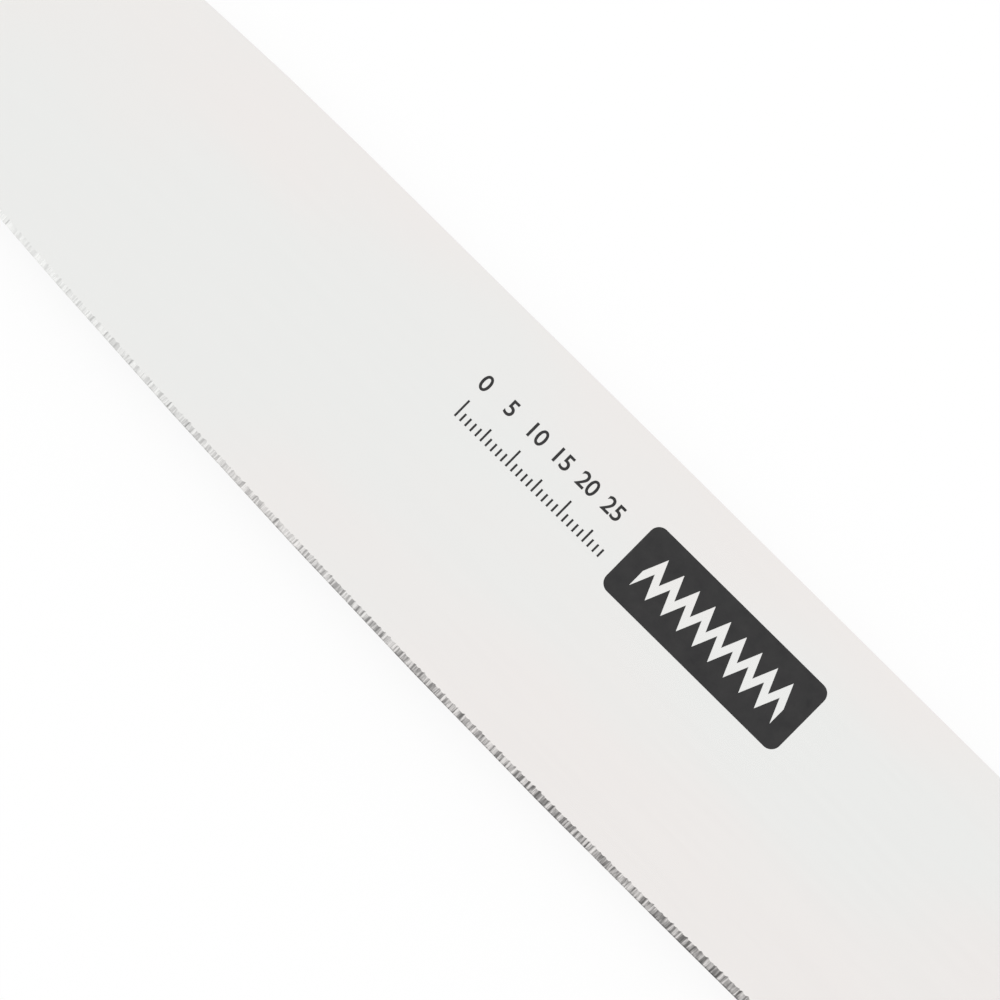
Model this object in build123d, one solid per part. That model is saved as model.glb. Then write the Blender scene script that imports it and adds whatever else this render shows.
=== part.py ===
"""Insulation knife: a full-tang stainless blade with a finely toothed edge and a riveted wooden handle.

The knife lies on the flat side of its handle, toothed side up. +X runs towards the butt of the handle,
+Y towards the spine and +Z out of the toothed side. Sizes are in millimetres.

It is drawn about the top of the handle front: x = 0 at the handle front, y = 0 along the straight part
of the spine and z = 0 on the middle plane of the steel. One move at the end takes the knife to its
origin, which is under the middle of the knife on the surface that it lies on.
"""

import math
import os

from build123d import *

# Blade
blade_length = 320.0  # handle front to tip
blade_width = 48.0  # spine to edge at the heel
blade_thickness = 2.0  # the tang, and the spine at the handle
edge_thickness = 0.9  # behind the bevel at the heel
distal_taper = 0.64  # how much thinner the spine is at the tip than at the handle
spine_straight = 153.0  # handle front to where the spine starts to drop
heel_straight = 46.6  # handle front to where the edge starts to rise
tip_depth = 24.8  # how far the tip lies below the straight part of the spine
tip_radius = 2.0
heel_setback = 10.0  # handle front to the back of the heel
heel_radius = 2.5
choil_radius = 8.0  # hollow between the heel and the handle
wheel_radius = 25.0  # the wheel that ground the blade left this radius behind the heel
spine_chamfer = 0.2

# Cutting edge: a toothed bevel, and a narrow steep one along the very edge. Angles are in degrees,
# each side, from the middle plane.
bevel_angle = 14.5
edge_bevel_angle = 35.0
edge_bevel_width = 0.2
edge_land = 0.05  # thickness left at the very edge
bevel_reach = 3.0  # how far the grinding cuts reach in from the edge
tooth_pitch = 1.0
tooth_depth = 0.035
tooth_width_share = 0.8  # of the pitch that a groove takes up
pitch_scatter = 0.22  # how uneven the pitch is, as a share of the pitch
depth_scatter = 0.5  # the same of the depth
valley_scatter = 0.5  # how far a groove's valley strays from its middle, as a share of its half width
plain_heel = 6.0  # edge left without teeth at the heel
plain_tip = 3.0  # edge left without teeth before the rounding of the tip

# Handle
handle_length = 135.0
handle_front_height = 28.0  # spine to underside at the handle front
scale_thickness = 9.0
scale_front_bulge = 3.0  # how far the front of a scale bows out over the blade
scale_corner_radius = 5.5  # corners of a scale's front, in plan
scale_rounding = 4.0  # radius of a scale's outer edges
top_straight = 60.0  # handle front to where the top starts to fall
finger_hollow = 2.5  # depth of the hollow for the first finger
hollow_length = 46.0
swell_length = 44.0  # palm swell, behind the hollow
beak_drop = 8.0  # how far the butt hooks down below the handle front
butt_drop = 6.0  # how far the top of the butt falls below the spine
butt_bow = 4.0  # how far the butt bows out backwards
beak_radius = 5.5
butt_radius = 9.0

# Rivets, each a hollow half and a pin half pressed together
rivet_head_diameter = 8.0
rivet_head_height = 2.5
rivet_tube_diameter = 5.0
rivet_pin_diameter = 3.0
rivet_end_gap = 1.0  # room left at each end inside a closed rivet
front_rivet_inset = 20.0  # handle front to the first rivet
rear_rivet_inset = 32.0  # butt to the last rivet

# Hanging tube
tube_diameter = 8.0
tube_bore_diameter = 6.2
tube_flare = 1.0  # how far each end is flared outwards, and over what length
tube_inset = 13.0  # butt to the middle of the tube

fit = 0.02  # clearance on the radius wherever one piece passes through another
tang_play = 0.05  # the same round the holes in the tang, which are drilled before hardening

half_steel = blade_thickness / 2
half_handle = half_steel + scale_thickness
rivet_seat = half_handle - rivet_head_height  # underside of a rivet's head
bevel_slope = math.tan(math.radians(bevel_angle))
edge_bevel_slope = math.tan(math.radians(edge_bevel_angle))
bevel_foot = edge_land / 2 + edge_bevel_width * (edge_bevel_slope - bevel_slope)  # z over the edge
blade_end = Vector(tip_radius - blade_length, -tip_depth)  # middle of the rounding at the tip


def arc_to_tip(start, side):
    """Arc that leaves start along the blade and runs smoothly into the rounding of the tip.

    side is -1 for the spine, which drops to the tip, and 1 for the edge, which rises to it.
    """
    run = start.X - blade_end.X
    rise = side * (blade_end.Y - start.Y)
    radius = (run**2 + rise**2 - tip_radius**2) / (2 * (rise - tip_radius))
    centre = Vector(start.X, start.Y + side * radius)
    finish = blade_end + (blade_end - centre).normalized() * tip_radius
    return TangentArc(start, finish, tangent=(-1, 0))


def spine_arc():
    return arc_to_tip(Vector(-spine_straight, 0), -1)


def edge_arc():
    return arc_to_tip(Vector(-heel_straight, -blade_width), 1)


def handle_outline(front):
    """The handle in plan, closed at its front by the given curve from the underside to the spine."""
    butt_x = handle_length - butt_bow
    butt_top = (butt_x, -butt_drop)
    beak = (butt_x, -handle_front_height - beak_drop)
    butt_middle = (handle_length, (butt_top[1] + beak[1]) / 2)
    hollow_middle = (hollow_length / 2, finger_hollow - handle_front_height)
    hollow_end = (hollow_length, -handle_front_height)
    swell_end = (hollow_length + swell_length, -handle_front_height)
    hollow = ThreePointArc(front @ 0, hollow_middle, hollow_end)
    swell = TangentArc(hollow_end, swell_end, tangent=hollow % 1)
    outline = make_face(
        [
            Line(front @ 1, (top_straight, 0)),
            TangentArc((top_straight, 0), butt_top, tangent=(1, 0)),
            ThreePointArc(butt_top, butt_middle, beak),
            TangentArc(swell_end, beak, tangent=swell % 1),
            swell,
            hollow,
            front,
        ]
    )
    outline = fillet(outline.vertices().sort_by_distance(beak)[0], beak_radius)
    return fillet(outline.vertices().sort_by_distance(butt_top)[0], butt_radius)


def tang_outline():
    """The tang in plan. Its front is where the blade begins."""
    return handle_outline(Line((0, -handle_front_height), (0, 0)))


def scale_outline():
    """A scale in plan. Its front bows out over the blade and has rounded corners."""
    foot = (0, -handle_front_height)
    outline = handle_outline(ThreePointArc(foot, (-scale_front_bulge, -handle_front_height / 2), (0, 0)))
    for corner in (foot, (0, 0)):
        outline = fillet(outline.vertices().sort_by_distance(corner)[0], scale_corner_radius)
    return outline


def blade_outline():
    """The blade in plan, from the handle front to the tip."""
    to_tip = spine_arc()
    from_tip = edge_arc()
    heel = (-heel_setback, -blade_width)
    choil = (-heel_setback, -handle_front_height)
    outline = make_face(
        [
            Line((0, 0), to_tip @ 0),
            to_tip,
            ThreePointArc(to_tip @ 1, (-blade_length, -tip_depth), from_tip @ 1),
            from_tip,
            Polyline(from_tip @ 0, heel, choil, (0, -handle_front_height), (0, 0)),
        ]
    )
    outline = fillet(outline.vertices().sort_by_distance(heel)[0], heel_radius)
    return fillet(outline.vertices().sort_by_distance(choil)[0], choil_radius)


def ground_plane():
    """Plane of the blade's upper side, which falls a little towards the tip and towards the edge."""
    fall_along = distal_taper / 2 / blade_length
    fall_across = (half_steel - edge_thickness / 2 - fall_along * heel_setback) / blade_width
    return Plane((0, 0, half_steel), x_dir=(1, 0, fall_along), z_dir=(-fall_along, -fall_across, 1))


def side_grind():
    """What the wheel takes off the upper side: the flat, and the wheel's own radius behind the heel."""
    far = 2 * blade_length
    swing = 45.0  # degrees of the wheel, enough to leave the steel
    wheel = JernArc((-heel_setback, 0), (1, 0), wheel_radius, swing)
    profile = make_face(
        [
            Line((-far, 0), (-heel_setback, 0)),
            wheel,
            Polyline(wheel @ 1, (-far, (wheel @ 1).Y), (-far, 0)),
        ]
    )
    return ground_plane().location * extrude(Plane.XZ * profile, 2 * blade_width, both=True)


def spine_grind():
    """What takes the sharp upper corner off the spine."""
    clear = 1.0  # how far the cut starts outside the steel
    drop = spine_arc()
    path = Wire([Line((0, 0), drop @ 0), drop])
    reach = spine_chamfer + clear
    section = make_face(Polyline((-reach, clear), (clear, -reach), (clear, clear), close=True))
    across = Plane(path @ 0, x_dir=(0, 1, 0), z_dir=(-1, 0, 0))
    return ground_plane().location * sweep(across * section, path)


def edge_grind(slope, foot):
    """What the wheel takes off the upper side for a bevel that starts at z = foot over the edge."""
    belly = edge_arc()
    path = Wire(
        [
            Line(belly @ 0 + Vector(heel_straight, 0), belly @ 0),
            belly,
            Line(belly @ 1, belly @ 1 + (belly % 1) * bevel_reach),
        ]
    )
    inner = (bevel_reach, foot + bevel_reach * slope)
    outer = (-bevel_reach, foot - bevel_reach * slope)
    section = make_face(Polyline(inner, outer, (outer[0], inner[1]), close=True))
    across = Plane(path @ 0, x_dir=(0, 1, 0), z_dir=(-1, 0, 0))
    return sweep(across * section, path)


def uneven(number, root):
    """A value from -1 to 1 that jumps about as number counts up, differently for each square root."""
    return 2 * (number * math.sqrt(root) % 1) - 1


def tooth_places():
    """Where the grooves lie, as distances along the edge from the heel, a little unevenly spaced."""
    places = [plain_heel]
    last_place = heel_straight - heel_setback + edge_arc().length - plain_tip
    while places[-1] + (1 + pitch_scatter) * tooth_pitch < last_place:
        step = 1 + pitch_scatter * uneven(len(places), 2)
        places.append(places[-1] + step * tooth_pitch)
    return places


def tooth_cut(number, place):
    """One groove straight across the upper bevel, at a distance along the edge from the heel."""
    belly = edge_arc()
    on_belly = place - (heel_straight - heel_setback)
    if on_belly < 0:
        point = Vector(-heel_setback - place, -blade_width)
        along = Vector(-1, 0)
    else:
        point = belly @ (on_belly / belly.length)
        along = belly % (on_belly / belly.length)
    inward = Vector(along.Y, -along.X)
    up_bevel = (inward + Vector(0, 0, bevel_slope)).normalized()
    start = point + Vector(0, 0, bevel_foot) - up_bevel * tooth_pitch
    half_width = tooth_pitch * tooth_width_share / 2
    depth = tooth_depth * (1 + depth_scatter * uneven(number, 3))
    valley = half_width * valley_scatter * uneven(number, 5)
    clear = tooth_depth / 4  # how far the cut starts above the bevel
    corners = [(-half_width, clear), (valley, -depth), (half_width, clear)]
    section = make_face(Polyline(corners, close=True))
    across = Plane(start, x_dir=along, z_dir=up_bevel)
    return extrude(across * section, bevel_reach + tooth_pitch)


def grip_middle(x):
    """The point halfway between the top and the underside of the handle at x."""
    slice_width = 0.1
    slice_of_grip = tang_outline() & Pos(x, 0) * Rectangle(slice_width, 4 * blade_width)
    return Pos(x, slice_of_grip.center().Y)


def across_handle(x, radius, low, high):
    """A round bar of the given radius through the middle of the handle at x, from z = low to high."""
    return grip_middle(x) * Pos(0, 0, low) * extrude(Circle(radius), high - low)


def rivet_places():
    """Distance behind the handle front of each rivet, by name."""
    rear = handle_length - rear_rivet_inset
    return {
        "front": front_rivet_inset,
        "middle": (front_rivet_inset + rear) / 2,
        "rear": rear,
    }


def make_blade():
    """Blade and tang in one piece."""
    body = extrude(blade_outline(), half_steel, both=True)
    bevel = edge_grind(bevel_slope, bevel_foot)
    edge_bevel = edge_grind(edge_bevel_slope, edge_land / 2)
    for cut in (side_grind(), spine_grind(), bevel, edge_bevel):
        body -= [cut, mirror(cut, about=Plane.XY)]
    body -= [tooth_cut(number, place) for number, place in enumerate(tooth_places())]
    tang = extrude(tang_outline(), half_steel, both=True)
    holes = [
        across_handle(x, rivet_tube_diameter / 2 + tang_play, -half_steel, half_steel)
        for x in rivet_places().values()
    ]
    tube_x = handle_length - tube_inset
    holes.append(across_handle(tube_x, tube_diameter / 2 + tang_play, -half_steel, half_steel))
    return body + (tang - holes)


def flared_bar(radius):
    """A bar from one side of the handle to the other, flared outwards at both ends."""
    shoulder = half_handle - tube_flare
    section = make_face(
        Polyline(
            (0, -half_handle),
            (radius + tube_flare, -half_handle),
            (radius, -shoulder),
            (radius, shoulder),
            (radius + tube_flare, half_handle),
            (0, half_handle),
            close=True,
        )
    )
    return grip_middle(handle_length - tube_inset) * revolve(Plane.XZ * section, Axis.Z)


def make_upper_scale():
    """Wooden handle half on the toothed side."""
    scale = Pos(0, 0, half_steel) * extrude(scale_outline(), scale_thickness)
    scale = fillet(scale.faces().sort_by(Axis.Z)[-1].edges(), scale_rounding)
    for x in rivet_places().values():
        scale -= across_handle(x, rivet_tube_diameter / 2 + fit, half_steel, half_handle)
        scale -= across_handle(x, rivet_head_diameter / 2 + fit, rivet_seat, half_handle)
    return scale - flared_bar(tube_diameter / 2 + fit)


def make_rivet_tube(x):
    """Hollow rivet half, whose head lies in the lower scale."""
    head = across_handle(x, rivet_head_diameter / 2, -half_handle, -rivet_seat)
    shank = across_handle(x, rivet_tube_diameter / 2, -rivet_seat, rivet_seat - rivet_end_gap)
    bore = across_handle(x, rivet_pin_diameter / 2 + fit, -rivet_seat, rivet_seat)
    return head + shank - bore


def make_rivet_pin(x):
    """Solid rivet half, whose head lies in the upper scale."""
    head = across_handle(x, rivet_head_diameter / 2, rivet_seat, half_handle)
    return head + across_handle(x, rivet_pin_diameter / 2, rivet_end_gap - rivet_seat, rivet_seat)


def make_hanging_tube():
    """Brass lining of the hole that the knife hangs by."""
    return flared_bar(tube_diameter / 2) - flared_bar(tube_bore_diameter / 2)


def make_pieces():
    """Every piece of the knife, by name."""
    upper_scale = make_upper_scale()
    pieces = {
        "blade": make_blade(),
        "upper_scale": upper_scale,
        "lower_scale": mirror(upper_scale, about=Plane.XY),
        "hanging_tube": make_hanging_tube(),
    }
    for name, x in rivet_places().items():
        pieces[name + "_rivet_tube"] = make_rivet_tube(x)
        pieces[name + "_rivet_pin"] = make_rivet_pin(x)
    return pieces


def place_on_origin(pieces):
    """Move all pieces together so that the origin is under the middle of the knife."""
    whole = Compound([piece.solid() for piece in pieces.values()]).bounding_box()
    middle = whole.center()
    move = Pos(-middle.X, -middle.Y, -whole.min.Z)
    return {name: move * piece.solid() for name, piece in pieces.items()}


os.makedirs("parts", exist_ok=True)
for name, piece in place_on_origin(make_pieces()).items():
    export_step(piece, f"parts/{name}.step")
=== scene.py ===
"""Looks of the insulation knife: its finishes, its etched marks, and the studio that it lies in.

Everything is in metres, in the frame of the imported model: the knife lies on the lower half of its handle,
+X runs towards the butt, +Y towards the spine and +Z out of the toothed side of the blade.
"""

from __future__ import annotations

import logging
import math
from dataclasses import dataclass, field
from enum import Enum
from typing import Union

import bpy
from mathutils import Matrix, Vector
from mathutils.bvhtree import BVHTree

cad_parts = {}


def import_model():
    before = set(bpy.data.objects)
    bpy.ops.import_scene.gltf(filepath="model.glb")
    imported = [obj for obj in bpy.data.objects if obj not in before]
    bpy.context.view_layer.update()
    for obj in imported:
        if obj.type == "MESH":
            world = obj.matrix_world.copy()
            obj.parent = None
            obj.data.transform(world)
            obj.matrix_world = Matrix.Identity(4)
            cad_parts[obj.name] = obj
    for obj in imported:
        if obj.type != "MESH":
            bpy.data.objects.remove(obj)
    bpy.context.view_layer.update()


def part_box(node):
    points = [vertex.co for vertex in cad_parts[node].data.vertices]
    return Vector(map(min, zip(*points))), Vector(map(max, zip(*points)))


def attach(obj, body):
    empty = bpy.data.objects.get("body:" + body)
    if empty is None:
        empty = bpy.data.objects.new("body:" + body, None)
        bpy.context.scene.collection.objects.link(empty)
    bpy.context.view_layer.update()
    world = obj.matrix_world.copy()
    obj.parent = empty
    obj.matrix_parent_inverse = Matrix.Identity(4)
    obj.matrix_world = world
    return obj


LOG = logging.getLogger("knife")
BODY = "root"
MM = 0.001

Colour = tuple[float, float, float]
Triple = tuple[float, float, float]
Feed = Union[bpy.types.NodeSocket, float, Triple]


class Slot(Enum):
    """Material slots of the record; no piece in this script takes its finish from them."""

    STEEL = "blade_steel"
    WOOD = "handle_wood"
    BRASS = "rivet_brass"


class Reading(Enum):
    """What a texture reads its place from."""

    PLACE = "Object"
    DIRECTION = "Generated"


class Tick(Enum):
    """Strokes of the etched rule: every how many millimetres, and how much of the row's height."""

    SHORT = (1, 0.45)
    MIDDLE = (5, 0.75)
    LONG = (10, 1.0)

    @property
    def every(self) -> int:
        """Return how many millimetres lie between two strokes of this kind."""
        return self.value[0]

    @property
    def reach(self) -> float:
        """Return the stroke's share of the row's height."""
        return self.value[1]


@dataclass
class Bench:
    """A node tree, with short ways to add nodes to it and join them."""

    tree: bpy.types.NodeTree

    def add(self, kind: str, **settings: object) -> bpy.types.Node:
        """Add a node.

        Args:
            kind: Node type without its "ShaderNode" prefix.
            settings: Properties of the node to set.

        Returns:
            The new node.
        """
        node = self.tree.nodes.new("ShaderNode" + kind)
        for name, value in settings.items():
            setattr(node, name, value)
        return node

    def feed(self, socket: bpy.types.NodeSocket, value: Feed) -> None:
        """Link a socket to another socket, or set it to a constant.

        Args:
            socket: Input to feed.
            value: Output to link from, or the constant.
        """
        if isinstance(value, bpy.types.NodeSocket):
            self.tree.links.new(value, socket)
        elif isinstance(value, tuple) and len(socket.default_value) == 4:
            socket.default_value = (*value, 1.0)
        else:
            socket.default_value = value

    def place(self, reading: Reading = Reading.PLACE) -> bpy.types.NodeSocket:
        """Return the coordinates that a texture reads.

        Args:
            reading: Which coordinates.

        Returns:
            Vector output.
        """
        return self.add("TexCoord").outputs[reading.value]

    def sums(self, operation: str, first: Feed, second: Feed = 0.0) -> bpy.types.NodeSocket:
        """Do one sum on numbers.

        Args:
            operation: Name of the Math node's operation.
            first: First number.
            second: Second number.

        Returns:
            The result.
        """
        node = self.add("Math", operation=operation)
        self.feed(node.inputs[0], first)
        self.feed(node.inputs[1], second)
        return node.outputs[0]

    def vectors(self, operation: str, first: Feed, second: Feed = (0.0, 0.0, 0.0)) -> bpy.types.Node:
        """Do one sum on vectors.

        Args:
            operation: Name of the Vector Math node's operation.
            first: First vector.
            second: Second vector.

        Returns:
            The node, whose output 0 is a vector and output 1 a number.
        """
        node = self.add("VectorMath", operation=operation)
        self.feed(node.inputs[0], first)
        self.feed(node.inputs[1], second)
        return node

    def part(self, vector: Feed, axis: int) -> bpy.types.NodeSocket:
        """Return one part of a vector: axis 0, 1 or 2."""
        node = self.add("SeparateXYZ")
        self.feed(node.inputs[0], vector)
        return node.outputs[axis]

    def noise(self, vector: Feed, per_metre: Triple, detail: float = 3.0, rough: float = 0.5) -> bpy.types.NodeSocket:
        """Return smooth noise from 0 to 1, stretched by having its own frequency along each axis.

        Args:
            vector: Coordinates.
            per_metre: Blobs per metre along X, Y and Z.
            detail: Octaves of finer noise.
            rough: Strength of the finer octaves.

        Returns:
            The noise.
        """
        node = self.add("TexNoise")
        self.feed(node.inputs["Vector"], self.vectors("MULTIPLY", vector, per_metre).outputs[0])
        node.inputs["Scale"].default_value = 1.0
        node.inputs["Detail"].default_value = detail
        node.inputs["Roughness"].default_value = rough
        return node.outputs[0]

    def span(self, value: Feed, low: float, high: float, start: float, end: float) -> bpy.types.NodeSocket:
        """Stretch a value from low..high to start..end, held at both ends.

        Args:
            value: Number to stretch.
            low: Value that gives start.
            high: Value that gives end.
            start: Result at low.
            end: Result at high.

        Returns:
            The stretched value.
        """
        node = self.add("MapRange", interpolation_type="SMOOTHSTEP")
        for socket, given in zip(node.inputs, (value, low, high, start, end)):
            self.feed(socket, given)
        return node.outputs[0]

    def mix(self, share: Feed, first: Feed, second: Feed) -> bpy.types.NodeSocket:
        """Mix two numbers.

        Args:
            share: Share of the second number, from 0 to 1.
            first: First number.
            second: Second number.

        Returns:
            The mixed number.
        """
        node = self.add("Mix", data_type="FLOAT")
        self.feed(node.inputs[0], share)
        self.feed(node.inputs[2], first)
        self.feed(node.inputs[3], second)
        return node.outputs[0]

    def blend(self, share: Feed, first: Feed, second: Feed) -> bpy.types.NodeSocket:
        """Mix two colours.

        Args:
            share: Share of the second colour, from 0 to 1.
            first: First colour.
            second: Second colour.

        Returns:
            The mixed colour.
        """
        node = self.add("Mix", data_type="RGBA")
        self.feed(node.inputs[0], share)
        self.feed(node.inputs[6], first)
        self.feed(node.inputs[7], second)
        return node.outputs[2]

    def ramp(self, value: Feed, stops: list[tuple[float, Colour]]) -> bpy.types.NodeSocket:
        """Turn a number into a colour.

        Args:
            value: Number from 0 to 1.
            stops: Places from 0 to 1, each with its colour.

        Returns:
            The colour.
        """
        node = self.add("ValToRGB")
        self.feed(node.inputs[0], value)
        points = node.color_ramp.elements
        while len(points) < len(stops):
            points.new(0.5)
        for point, (at, colour) in zip(points, stops):
            point.position = at
            point.color = (*colour, 1.0)
        return node.outputs[0]

    def bump(self, height: Feed, depth: float, under: Feed | None = None) -> bpy.types.NodeSocket:
        """Roughen a surface.

        Args:
            height: Relief from 0 to 1.
            depth: Depth of the relief in metres.
            under: Normal of a coarser relief to add this one to.

        Returns:
            The normal.
        """
        node = self.add("Bump")
        node.inputs["Strength"].default_value = 1.0
        node.inputs["Distance"].default_value = depth
        self.feed(node.inputs["Height"], height)
        if under is not None:
            self.feed(node.inputs["Normal"], under)
        return node.outputs[0]


class Finish:
    """A surface finish that makes its own material. Each kind of finish says how it paints its skin."""

    name: str

    def paint(self, bench: Bench, skin: bpy.types.Node) -> None:
        """Add this finish's nodes.

        Args:
            bench: The material's node tree.
            skin: Its Principled BSDF.
        """
        raise NotImplementedError

    def material(self) -> bpy.types.Material:
        """Make the material.

        Returns:
            A new material with this finish.
        """
        made = bpy.data.materials.new(self.name)
        made.use_nodes = True
        self.paint(Bench(made.node_tree), made.node_tree.nodes["Principled BSDF"])
        return made


@dataclass(frozen=True)
class SatinSteel(Finish):
    """Stainless steel with a fine satin grind along the blade, and a bevel that is ground across it.

    The bevel and the corners of the spine are told from the flat sides by how far they lean. The bevel's stripes
    are real grinding relief in its bump. In its colour they are painted glints and dark facets, and painted shade
    makes them darker from the tip towards the heel. The spine's corners get a painted grey shade line.
    """

    name: str = "satin_stainless"
    cool: Colour = (0.838, 0.842, 0.828)
    warm: Colour = (0.860, 0.832, 0.815)
    roughness: float = 0.24
    grind_depth: float = 0.0016 * MM
    stripe_depth: float = 0.006 * MM
    flat_tilt: float = 0.985
    side_tilt: float = 0.5
    spine_side: float = 0.3
    # painted shade: the spine's corners are darkened to a grey hairline
    spine_shade: float = 0.6
    # painted highlight and shade: the bevel's colour runs from bright painted glints at the tip end to painted dark
    # facets at the heel end
    light_end: float = -105.0 * MM
    dark_end: float = 25.0 * MM
    light_stripes: tuple[float, float] = (0.94, 1.15)
    dark_stripes: tuple[float, float] = (0.3, 1.0)

    def bevel(self, bench: Bench) -> tuple[bpy.types.NodeSocket, bpy.types.NodeSocket]:
        """Find the ground bevel.

        Args:
            bench: The material's node tree.

        Returns:
            1 on the bevel and the spine's corners and 0 elsewhere, and 1 where the steel faces the spine.
        """
        normal = bench.add("NewGeometry").outputs["Normal"]
        lean = bench.sums("ABSOLUTE", bench.part(normal, 2))
        not_flat = bench.sums("LESS_THAN", lean, self.flat_tilt)
        not_side = bench.sums("GREATER_THAN", lean, self.side_tilt)
        spine = bench.sums("GREATER_THAN", bench.part(normal, 1), self.spine_side)
        return bench.sums("MULTIPLY", not_flat, not_side), spine

    def paint(self, bench: Bench, skin: bpy.types.Node) -> None:
        """Add this finish's nodes.

        Args:
            bench: The material's node tree.
            skin: Its Principled BSDF.
        """
        place = bench.place()
        along = bench.part(place, 0)
        bevel, spine = self.bevel(bench)
        clouds = bench.noise(place, (11.0, 26.0, 26.0), detail=2.0)
        colour = bench.blend(bench.span(clouds, 0.38, 0.62, 0.0, 1.0), self.cool, self.warm)
        stripes = bench.noise(place, (2300.0, 260.0, 260.0), detail=3.0, rough=0.65)
        # painted reflection and shade: the bevel's colour is scaled by stripes of painted glints and dark facets,
        # darker towards the heel, and the spine's corners by a painted shade
        low, high = (
            bench.span(along, self.light_end, self.dark_end, light, dark)
            for light, dark in zip(self.light_stripes, self.dark_stripes)
        )
        painted_light_scale = bench.mix(spine, bench.span(stripes, 0.36, 0.64, low, high), self.spine_shade)
        painted_steel_colour = bench.vectors("SCALE", colour)
        bench.feed(painted_steel_colour.inputs["Scale"], bench.mix(bevel, 1.0, painted_light_scale))
        bench.feed(skin.inputs["Base Color"], painted_steel_colour.outputs[0])
        skin.inputs["Metallic"].default_value = 1.0
        scuffs = bench.noise(place, (55.0, 900.0, 900.0), detail=2.0)
        satin = bench.span(scuffs, 0.3, 0.7, self.roughness - 0.03, self.roughness + 0.03)
        bench.feed(skin.inputs["Roughness"], bench.mix(bevel, satin, bench.span(stripes, 0.3, 0.7, 0.14, 0.3)))
        grind = bench.bump(bench.noise(place, (16.0, 7000.0, 7000.0), detail=3.0, rough=0.6), self.grind_depth)
        relief = bench.sums("MULTIPLY", stripes, bevel)
        bench.feed(skin.inputs["Normal"], bench.bump(relief, self.stripe_depth, grind))


@dataclass(frozen=True)
class OiledHardwood(Finish):
    """Close-grained reddish hardwood, oiled, with its grain along the handle."""

    name: str = "oiled_hardwood"
    heart: Colour = (0.085, 0.028, 0.013)
    middle: Colour = (0.215, 0.080, 0.034)
    pale: Colour = (0.345, 0.150, 0.070)
    pore: Colour = (0.028, 0.011, 0.006)
    shift: Triple = (0.0, 0.0, 0.0)
    ring_spacing: float = 2.6 * MM
    roughness: float = 0.38
    pore_depth: float = 0.05 * MM

    def paint(self, bench: Bench, skin: bpy.types.Node) -> None:
        """Add this finish's nodes.

        Args:
            bench: The material's node tree.
            skin: Its Principled BSDF.
        """
        place = bench.vectors("ADD", bench.place(), self.shift).outputs[0]
        wander = bench.noise(place, (9.0, 60.0, 60.0), detail=2.0)
        across = bench.vectors("MULTIPLY", place, (0.06, 1.0, 1.0)).outputs[0]
        from_heart = bench.vectors("LENGTH", across).outputs[1]
        bent = bench.sums("ADD", from_heart, bench.sums("MULTIPLY", wander, 6 * MM))
        turns = bench.sums("FRACT", bench.sums("DIVIDE", bent, self.ring_spacing))
        late = bench.span(turns, 0.35, 0.97, 0.0, 1.0)
        streaks = bench.noise(place, (22.0, 1500.0, 1500.0), detail=4.0, rough=0.6)
        tone = bench.sums("ADD", bench.sums("MULTIPLY", late, 0.42), bench.sums("MULTIPLY", streaks, 0.62))
        wood = bench.ramp(tone, [(0.18, self.pale), (0.5, self.middle), (0.92, self.heart)])
        dashes = bench.noise(place, (190.0, 4200.0, 4200.0), detail=2.0, rough=0.5)
        pores = bench.span(dashes, 0.64, 0.7, 0.0, 1.0)
        bench.feed(skin.inputs["Base Color"], bench.blend(bench.sums("MULTIPLY", pores, 0.75), wood, self.pore))
        polish = bench.noise(place, (35.0, 90.0, 90.0), detail=2.0)
        sheen = bench.span(polish, 0.3, 0.7, self.roughness - 0.06, self.roughness + 0.08)
        bench.feed(skin.inputs["Roughness"], bench.sums("ADD", sheen, bench.sums("MULTIPLY", pores, 0.2)))
        grain = bench.bump(streaks, 0.012 * MM)
        bench.feed(skin.inputs["Normal"], bench.bump(bench.sums("SUBTRACT", 1.0, pores), self.pore_depth, grain))
        skin.inputs["Specular IOR Level"].default_value = 0.45
        skin.inputs["Coat Weight"].default_value = 0.12
        skin.inputs["Coat Roughness"].default_value = 0.3


@dataclass(frozen=True)
class GroundBrass(Finish):
    """Brass ground flush with the wood: belt lines along the handle, duller towards the rim."""

    name: str = "ground_brass"
    bright: Colour = (0.815, 0.600, 0.290)
    dull: Colour = (0.420, 0.265, 0.110)
    middle: tuple[float, float] = (0.0, 0.0)
    rim: float = 4.0 * MM
    roughness: float = 0.26

    def paint(self, bench: Bench, skin: bpy.types.Node) -> None:
        """Add this finish's nodes.

        Args:
            bench: The material's node tree.
            skin: Its Principled BSDF.
        """
        place = bench.place()
        centred = bench.vectors("SUBTRACT", place, (*self.middle, 0.0)).outputs[0]
        flat = bench.vectors("MULTIPLY", centred, (1.0, 1.0, 0.0)).outputs[0]
        reach = bench.sums("DIVIDE", bench.vectors("LENGTH", flat).outputs[1], self.rim)
        edge = bench.span(reach, 0.86, 1.0, 0.0, 0.85)
        stains = bench.span(bench.noise(place, (260.0, 260.0, 260.0), detail=4.0), 0.45, 0.75, 0.0, 0.4)
        tarnish = bench.sums("MAXIMUM", edge, stains)
        bench.feed(skin.inputs["Base Color"], bench.blend(tarnish, self.bright, self.dull))
        skin.inputs["Metallic"].default_value = 1.0
        belt = bench.noise(place, (120.0, 9000.0, 9000.0), detail=3.0, rough=0.6)
        dullness = bench.span(belt, 0.3, 0.7, self.roughness - 0.05, self.roughness + 0.07)
        bench.feed(skin.inputs["Roughness"], bench.sums("ADD", dullness, bench.sums("MULTIPLY", tarnish, 0.2)))
        bench.feed(skin.inputs["Normal"], bench.bump(belt, 0.004 * MM))


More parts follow.
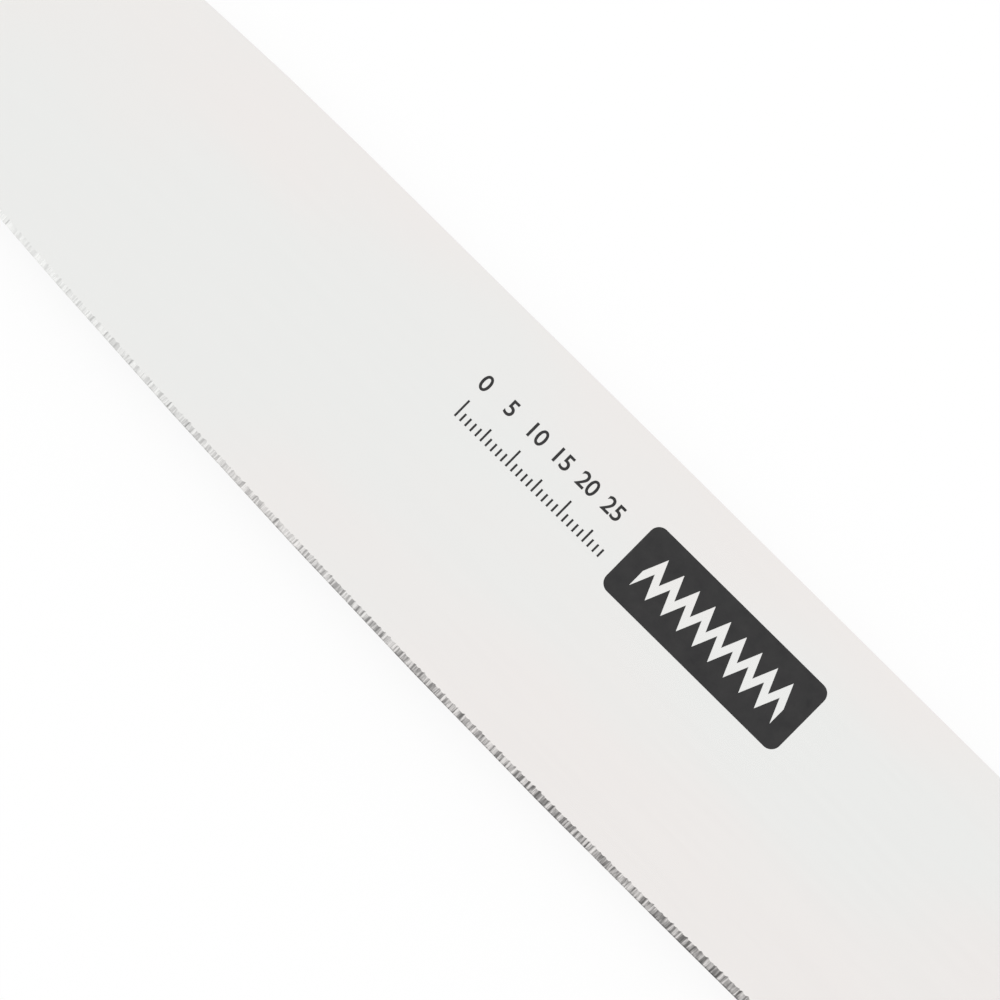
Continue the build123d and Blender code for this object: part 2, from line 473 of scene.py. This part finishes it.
@dataclass(frozen=True)
class EtchedOxide(Finish):
    """The black oxide of an electrically etched mark: matt, a little uneven, grey where it is thin."""

    name: str = "etched_oxide"
    deep: Colour = (0.012, 0.012, 0.013)
    thin: Colour = (0.045, 0.044, 0.044)

    def paint(self, bench: Bench, skin: bpy.types.Node) -> None:
        """Add this finish's nodes.

        Args:
            bench: The material's node tree.
            skin: Its Principled BSDF.
        """
        place = bench.place()
        patches = bench.noise(place, (420.0, 420.0, 420.0), detail=4.0, rough=0.6)
        bench.feed(skin.inputs["Base Color"], bench.blend(patches, self.deep, self.thin))
        bench.feed(skin.inputs["Roughness"], bench.span(patches, 0.3, 0.7, 0.5, 0.7))
        grit = bench.noise(place, (16000.0, 16000.0, 16000.0), detail=2.0)
        bench.feed(skin.inputs["Normal"], bench.bump(grit, 0.004 * MM))
        skin.inputs["Specular IOR Level"].default_value = 0.2


def outfit(node: str, finish: Finish) -> None:
    """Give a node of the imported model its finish.

    Args:
        node: Name of the node.
        finish: Finish that takes the place of its plain material.
    """
    shape = bpy.data.objects[node]
    shape.data.materials.clear()
    shape.data.materials.append(finish.material())
    LOG.info("%s: %s", node, finish.name)


def sheet(name: str, points: list[Triple], faces: list[list[int]]) -> bpy.types.Object:
    """Make a mesh object and put it in the scene.

    Args:
        name: Name of the piece.
        points: Corners.
        faces: Corner numbers of each face.

    Returns:
        The new object.
    """
    mesh = bpy.data.meshes.new(name)
    mesh.from_pydata(points, [], faces)
    mesh.validate()
    made = bpy.data.objects.new(name, mesh)
    bpy.context.scene.collection.objects.link(made)
    return made


@dataclass
class Blade:
    """The toothed stainless blade and the marks etched on its upper side.

    Places on the blade are (ahead, below): metres ahead of the handle front, and below the spine. A mark is
    levelled on the steel by two more points, level_reach away from its origin.
    """

    front_bulge: float = 3.0 * MM
    mark_height: float = 0.02 * MM
    level_reach: float = 5.0 * MM
    rule_ahead: float = 117.5 * MM
    rule_below: float = 16.1 * MM
    rule_length: int = 28
    tick_height: float = 3.0 * MM
    tick_width: float = 0.32 * MM
    digit_below: float = 11.2 * MM
    digit_height: float = 2.4 * MM
    digit_step: int = 5
    digit_boldness: float = 0.05 * MM
    digit_share: float = 0.7
    panel_ahead: float = 69.7 * MM
    panel_below: float = 14.1 * MM
    panel_length: float = 34.0 * MM
    panel_width: float = 12.0 * MM
    panel_corner: float = 1.6 * MM
    corner_steps: int = 8
    zigzag_teeth: int = 9
    zigzag_margin: float = 3.2 * MM
    zigzag_height: float = 3.6 * MM
    zigzag_stroke: float = 1.1 * MM
    steel: SatinSteel = field(default_factory=SatinSteel)
    oxide: EtchedOxide = field(default_factory=EtchedOxide)

    def __post_init__(self) -> None:
        """Find the handle front, the spine and the steel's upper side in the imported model."""
        self.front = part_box("upper_scale")[0].x + self.front_bulge
        self.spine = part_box("blade")[1].y
        shape = bpy.data.objects["blade"].data
        corners = [vertex.co for vertex in shape.vertices]
        self.tree = BVHTree.FromPolygons(corners, [tuple(face.vertices) for face in shape.polygons])

    def at(self, ahead: float, below: float, lift: float = 0.0) -> Vector:
        """Find a point on the upper side of the steel.

        Args:
            ahead: Distance ahead of the handle front.
            below: Distance below the spine.
            lift: Height over the steel.

        Returns:
            The point.
        """
        above = Vector((self.front - ahead, self.spine - below, 1.0))
        hit = self.tree.ray_cast(above, Vector((0.0, 0.0, -1.0)))[0]
        return hit + Vector((0.0, 0.0, lift))

    def lay(self, mark: bpy.types.Object, ahead: float, below: float) -> None:
        """Lay a flat mark, drawn about its own origin, on the steel, and finish it.

        Args:
            mark: The mark, drawn with its reading direction along X and its top towards Y.
            ahead: Where its origin goes, ahead of the handle front.
            below: The same below the spine.
        """
        origin = self.at(ahead, below, self.mark_height / 2)
        along = (self.at(ahead - self.level_reach, below, self.mark_height / 2) - origin).normalized()
        up = (self.at(ahead, below - self.level_reach, self.mark_height / 2) - origin).normalized()
        out = along.cross(up)
        turn = Matrix((along, up, out)).transposed().to_4x4()
        mark.data.transform(Matrix.Translation(origin) @ turn)
        mark.data.materials.clear()
        mark.data.materials.append(bpy.data.materials.get(self.oxide.name) or self.oxide.material())
        thick = mark.modifiers.new("thickness", "SOLIDIFY")
        thick.thickness = self.mark_height
        thick.offset = 0.0
        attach(mark, BODY)
        LOG.info("%s: laid %.1f mm ahead of the handle", mark.name, ahead / MM)

    def ticks(self) -> bpy.types.Object:
        """Draw the strokes of the etched rule.

        Returns:
            The strokes, as one piece.
        """
        points: list[Triple] = []
        faces: list[list[int]] = []
        for place in range(self.rule_length + 1):
            tick = max((kind for kind in Tick if place % kind.every == 0), key=lambda kind: kind.every)
            low, high = -self.tick_height / 2, (tick.reach - 0.5) * self.tick_height
            left, right = place * MM - self.tick_width / 2, place * MM + self.tick_width / 2
            first = len(points)
            points += [(left, low, 0.0), (right, low, 0.0), (right, high, 0.0), (left, high, 0.0)]
            faces.append([first, first + 1, first + 2, first + 3])
        return sheet("etched_rule_ticks", points, faces)

    def digits(self) -> bpy.types.Object:
        """Draw the plain numbers of the etched rule.

        Returns:
            The numbers, as one piece.
        """
        lines = []
        for place in range(0, self.rule_length + 1, self.digit_step):
            curve = bpy.data.curves.new("number", "FONT")
            curve.body = str(place)
            curve.size = self.digit_height / self.digit_share
            curve.align_x = "CENTER"
            curve.offset = self.digit_boldness
            text = bpy.data.objects.new("number", curve)
            text.location = (place * MM, -self.digit_height / 2, 0.0)
            bpy.context.scene.collection.objects.link(text)
            lines.append(text)
        bpy.context.view_layer.update()
        points: list[Triple] = []
        faces: list[list[int]] = []
        for text in lines:
            mesh = text.to_mesh()
            first = len(points)
            points += [tuple(text.matrix_world @ vertex.co) for vertex in mesh.vertices]
            faces += [[first + corner for corner in face.vertices] for face in mesh.polygons]
            text.to_mesh_clear()
            bpy.data.objects.remove(text)
        return sheet("etched_rule_numbers", points, faces)

    def corner(self, right: bool, up: bool) -> list[Triple]:
        """Round one corner of the panel.

        Args:
            right: Whether it is a right corner.
            up: Whether it is an upper corner.

        Returns:
            Its points, anticlockwise.
        """
        side_x, side_y = (1 if right else -1), (1 if up else -1)
        centre_x = side_x * (self.panel_length / 2 - self.panel_corner)
        centre_y = side_y * (self.panel_width / 2 - self.panel_corner)
        quarter = [math.pi / 2 * number / self.corner_steps for number in range(self.corner_steps + 1)]
        reach_x, reach_y = side_x * self.panel_corner, side_y * self.panel_corner
        points = [(centre_x + reach_x * math.cos(turn), centre_y + reach_y * math.sin(turn), 0.0) for turn in quarter]
        return points if right == up else points[::-1]

    def panel(self) -> bpy.types.Object:
        """Draw the dark panel with a bare zigzag in it, the sign for a toothed edge.

        Returns:
            The panel, with the zigzag open through it.
        """
        edge = self.panel_width / 2
        run = self.panel_length / 2 - self.zigzag_margin
        turns = 2 * self.zigzag_teeth
        step = 2 * run / turns
        shift = self.zigzag_stroke / 2 * math.hypot(step, self.zigzag_height) / step
        points: list[Triple] = []
        for number in range(turns + 1):
            x, y = -run + number * step, (0.5 if number % 2 else -0.5) * self.zigzag_height
            points += [(x, -edge, 0.0), (x, y - shift, 0.0), (x, y + shift, 0.0), (x, edge, 0.0)]
        faces: list[list[int]] = []
        for first in range(0, 4 * turns, 4):
            faces.append([first, first + 4, first + 5, first + 1])
            faces.append([first + 2, first + 6, first + 7, first + 3])
        right = self.corner(True, False) + self.corner(True, True)
        left = self.corner(False, True) + self.corner(False, False)
        last = 4 * turns
        for ends, cap in (((last + 3, last + 2, last + 1, last), right), ((0, 1, 2, 3), left)):
            fresh = list(range(len(points), len(points) + len(cap)))
            points += cap
            faces.append(fresh + list(ends))
        return sheet("etched_tooth_sign", points, faces)

    def build(self) -> None:
        """Finish the blade and lay its marks."""
        outfit("blade", self.steel)
        self.lay(self.ticks(), self.rule_ahead, self.rule_below)
        self.lay(self.digits(), self.rule_ahead, self.digit_below)
        self.lay(self.panel(), self.panel_ahead, self.panel_below)


@dataclass
class Handle:
    """The two wooden scales, the three rivets and the hanging tube."""

    scales: dict[str, Triple] = field(
        default_factory=lambda: {"upper_scale": (0.0, 0.011, 0.016), "lower_scale": (0.31, -0.014, -0.027)}
    )
    rivets: tuple[str, ...] = ("front", "middle", "rear")
    tube: str = "hanging_tube"

    def brass(self, node: str) -> None:
        """Finish one brass piece, with its rim where its own box ends.

        Args:
            node: Name of the piece.
        """
        low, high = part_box(node)
        middle = (low + high) / 2
        rim = (high.x - low.x) / 2
        outfit(node, GroundBrass(name="brass_" + node, middle=(middle.x, middle.y), rim=rim))

    def build(self) -> None:
        """Finish every piece of the handle."""
        for node, shift in self.scales.items():
            outfit(node, OiledHardwood(name="wood_" + node, shift=shift))
        for rivet in self.rivets:
            for half in ("tube", "pin"):
                self.brass(f"{rivet}_rivet_{half}")
        self.brass(self.tube)


@dataclass
class Studio:
    """Pale floor, soft light and the camera over the blade."""

    floor_size: float = 6.0
    floor_colour: Colour = (0.86, 0.86, 0.86)
    white_share: float = 0.85
    dim_side: Triple = (0.50, -0.80, 0.33)
    sky: tuple[tuple[float, float], ...] = ((0.68, 1.0), (0.76, 0.8), (0.84, 0.5), (0.95, 0.32))
    lamp_size: float = 1.4
    lamp_place: Triple = (-0.3, 0.4, 1.6)
    lamp_watts: float = 9.0
    lens: float = 85.0
    sensor: float = 36.0
    nearest: float = 0.01
    view_width: float = 139.9 * MM
    view_ahead: float = 104.7 * MM
    view_below: float = 21.5 * MM
    roll: float = 44.636

    def floor(self) -> None:
        """Lay the floor: white to the eye, but for the knife's faint shadow."""
        half = self.floor_size / 2
        corners = [(-half, -half, 0.0), (half, -half, 0.0), (half, half, 0.0), (-half, half, 0.0)]
        floor = sheet("floor", corners, [[0, 1, 2, 3]])
        made = bpy.data.materials.new("pale_floor")
        made.use_nodes = True
        bench = Bench(made.node_tree)
        paint = made.node_tree.nodes["Principled BSDF"]
        bench.feed(paint.inputs["Base Color"], self.floor_colour)
        paint.inputs["Roughness"].default_value = 0.9
        paint.inputs["Specular IOR Level"].default_value = 0.0
        glow = bench.add("Emission")
        path = bench.add("LightPath")
        seen = bench.sums("MAXIMUM", path.outputs["Is Camera Ray"], path.outputs["Is Glossy Ray"])
        seen = bench.sums("MAXIMUM", seen, path.outputs["Is Transmission Ray"])
        mix = bench.add("MixShader")
        bench.feed(mix.inputs[0], bench.sums("MULTIPLY", seen, self.white_share))
        bench.feed(mix.inputs[1], paint.outputs[0])
        bench.feed(mix.inputs[2], glow.outputs[0])
        bench.feed(made.node_tree.nodes["Material Output"].inputs["Surface"], mix.outputs[0])
        floor.data.materials.append(made)

    def room(self) -> None:
        """Light the room: white all round, but for a dim side towards the edge and the handle."""
        world = bpy.data.worlds.new("room")
        bpy.context.scene.world = world
        world.use_nodes = True
        bench = Bench(world.node_tree)
        backdrop = world.node_tree.nodes["Background"]
        dim = Vector(self.dim_side).normalized()
        facing = bench.vectors("DOT_PRODUCT", bench.place(Reading.DIRECTION), tuple(dim)).outputs[1]
        stops = [(at, (level, level, level)) for at, level in self.sky]
        level = bench.part(bench.ramp(facing, stops), 0)
        seen = bench.add("LightPath").outputs["Is Camera Ray"]
        bench.feed(backdrop.inputs["Strength"], bench.sums("MAXIMUM", level, seen))
        bench.feed(backdrop.inputs["Color"], (1.0, 1.0, 1.0))

    def lamp(self) -> None:
        """Hang one large soft lamp over the knife."""
        light = bpy.data.lights.new("soft_lamp", "AREA")
        light.size = self.lamp_size
        light.energy = self.lamp_watts
        lamp = bpy.data.objects.new("soft_lamp", light)
        lamp.location = self.lamp_place
        lamp.rotation_euler = (Vector((0.0, 0.0, 0.0)) - lamp.location).to_track_quat("-Z", "Y").to_euler()
        lamp.visible_glossy = False
        bpy.context.scene.collection.objects.link(lamp)

    def camera(self, blade: Blade) -> None:
        """Hang the camera straight over the blade, rolled so that the handle is down on the right.

        Args:
            blade: The blade that it looks at.
        """
        lens = bpy.data.cameras.new("camera")
        lens.lens = self.lens
        lens.sensor_width = self.sensor
        lens.clip_start = self.nearest
        eye = bpy.data.objects.new("camera", lens)
        target = blade.at(self.view_ahead, self.view_below)
        eye.location = target + Vector((0.0, 0.0, self.view_width * self.lens / self.sensor))
        eye.rotation_euler = (0.0, 0.0, math.radians(self.roll))
        bpy.context.scene.collection.objects.link(eye)
        bpy.context.scene.camera = eye

    def build(self, blade: Blade) -> None:
        """Set up the studio round the knife.

        Args:
            blade: The blade that the camera looks at.
        """
        self.floor()
        self.room()
        self.lamp()
        self.camera(blade)
        bpy.context.scene.view_settings.view_transform = "Standard"


def main() -> None:
    """Build the looks in order."""
    logging.basicConfig(level=logging.INFO, format="%(name)s %(message)s")
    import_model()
    blade = Blade()
    blade.build()
    Handle().build()
    Studio().build(blade)


if __name__ == "__main__":
    main()
